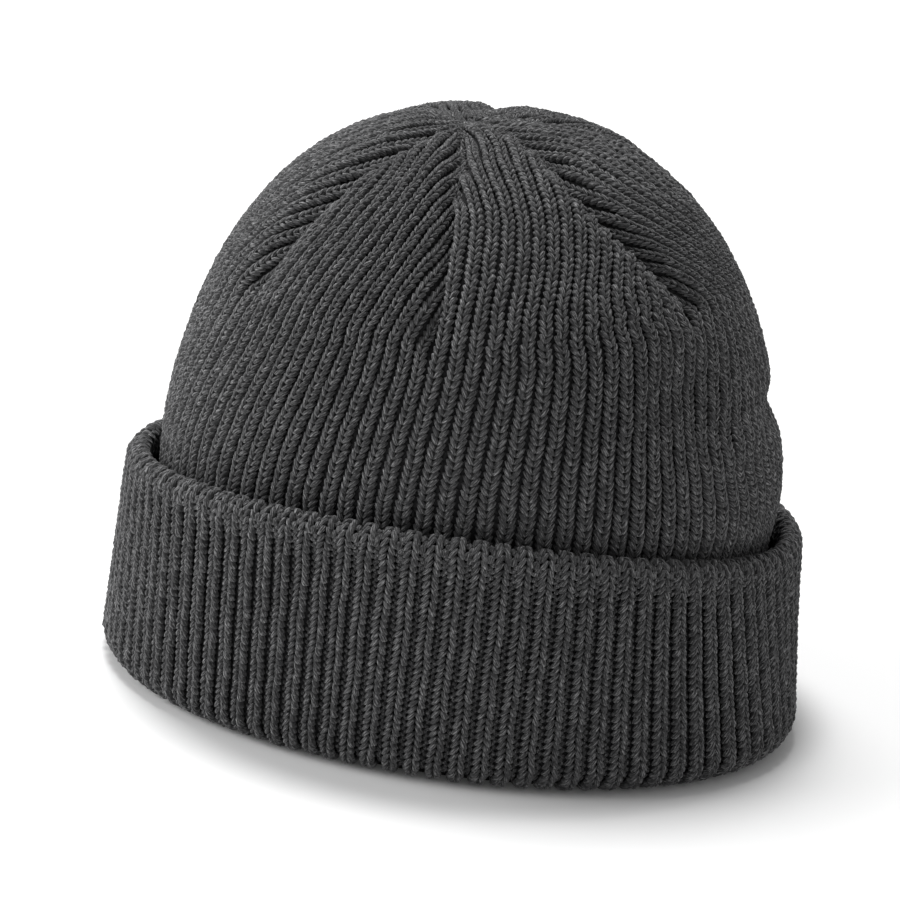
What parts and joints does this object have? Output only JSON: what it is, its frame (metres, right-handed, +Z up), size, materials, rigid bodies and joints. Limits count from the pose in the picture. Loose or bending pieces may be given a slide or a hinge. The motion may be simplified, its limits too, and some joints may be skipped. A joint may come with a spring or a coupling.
{
  "type": "cuffed beanie",
  "caption": "Rib-knit cuffed beanie: a hollow domed crown gathered by darts at the top, standing in a thick turned-up cuff",
  "frame": {"origin": "On the surface the hat rests on, under the middle of its box", "axes": "+Z up, out of the top of the crown; -Y towards the front of the hat; +X to the right of someone facing that front"},
  "size_m": [0.2222, 0.1908, 0.1836],
  "materials": {
    "crown_knit": "heathered charcoal rib knit",
    "cuff_knit": "heathered charcoal rib knit"
  },
  "bodies": {
    "root": {"crown": "crown_knit", "cuff": "cuff_knit"}
  },
  "joints": []
}
